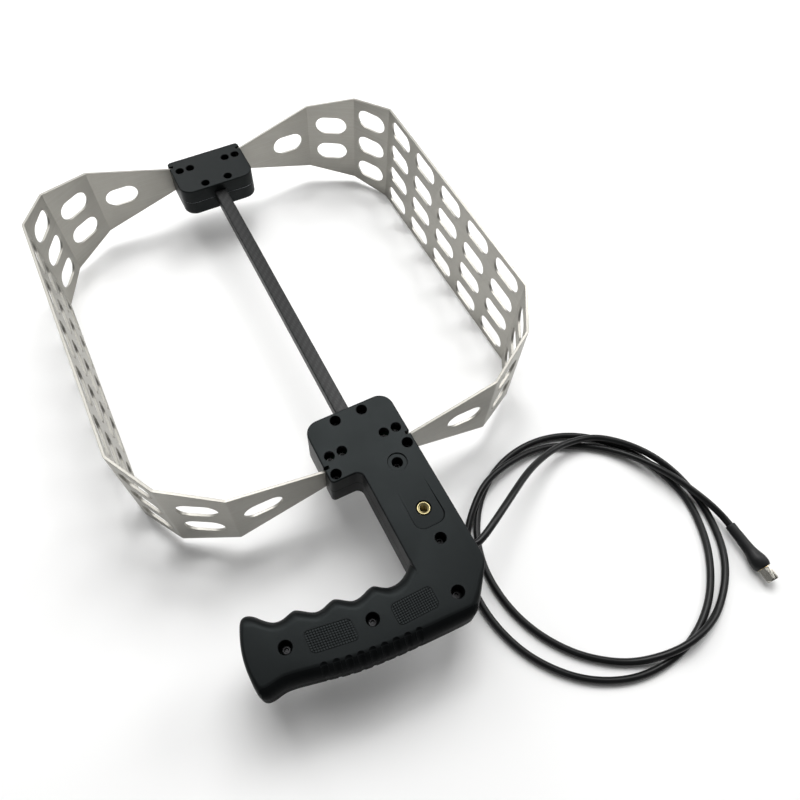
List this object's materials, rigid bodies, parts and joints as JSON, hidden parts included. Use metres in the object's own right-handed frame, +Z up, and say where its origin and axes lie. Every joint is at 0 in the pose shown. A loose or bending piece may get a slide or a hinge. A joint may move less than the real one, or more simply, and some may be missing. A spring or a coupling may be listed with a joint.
{
  "type": "handheld loop antenna",
  "caption": "Handheld directional loop antenna with slotted sheet-metal half loops, a square boom, a tip block, a pistol grip with a tripod socket, and a coaxial lead.",
  "frame": {"origin": "on the surface the loop lies on, under the middle of the object measured without its cable and plug", "axes": "+Y along the boom from the handle towards the tip block, +Z up, +X to the right seen from above with the tip block ahead"},
  "size_m": [0.3747, 0.5199, 0.092],
  "materials": {
    "element_metal": "mill finish sheet, brighter sheared edges",
    "carbon_tube": "carbon fibre twill under satin resin",
    "shell": "fine textured matt black moulding",
    "screw_black": "black oxide steel",
    "screw_bright": "bright zinc steel",
    "brass_insert": "turned brass",
    "board": "glass laminate with green solder resist",
    "ferrite": "sintered ferrite, matt",
    "copper": "enamelled copper wire",
    "cable_jacket": "smooth satin black jacket",
    "grommet": "matt black rubber",
    "resistor": "lacquered ceramic",
    "heat_shrink": "satin black heat-shrink sleeve",
    "plug_brass": "gold-coloured plating",
    "dielectric": "white fluoropolymer",
    "gasket": "red silicone",
    "nickel": "bright nickel plating"
  },
  "bodies": {
    "root": {"left_element": "element_metal", "right_element": "element_metal", "boom": "carbon_tube", "handle_upper_shell": "shell", "handle_lower_shell": "shell", "case_screws": "screw_black", "case_inserts": "brass_insert", "tripod_insert": "brass_insert", "feed_board": "board", "feed_screws": "screw_bright", "feed_inserts": "brass_insert", "balun_core": "ferrite", "balun_winding": "copper", "feed_leads": "copper", "coax_inner_lead": "cable_jacket", "cable_grommet": "grommet", "tip_upper_shell": "shell", "tip_lower_shell": "shell", "tip_case_screws": "screw_black", "tip_case_inserts": "brass_insert", "tip_board": "board", "tip_screws": "screw_black", "tip_inserts": "brass_insert", "load_resistor": "resistor", "coax_cable": "cable_jacket", "plug_boot": "heat_shrink", "crimp_ferrule": "plug_brass", "plug_body": "plug_brass", "plug_dielectric": "dielectric", "plug_pin": "plug_brass", "nut_retaining_ring": "plug_brass", "plug_gasket": "gasket"},
    "nut": {"coupling_nut": "nickel"}
  },
  "joints": [
    {"name": "coupling_nut_turn", "type": "hinge", "parent": "root", "child": "nut", "pos_m": [0.2173, -0.281, 0.0065], "axis": [0, -1, 0], "continuous": true}
  ]
}
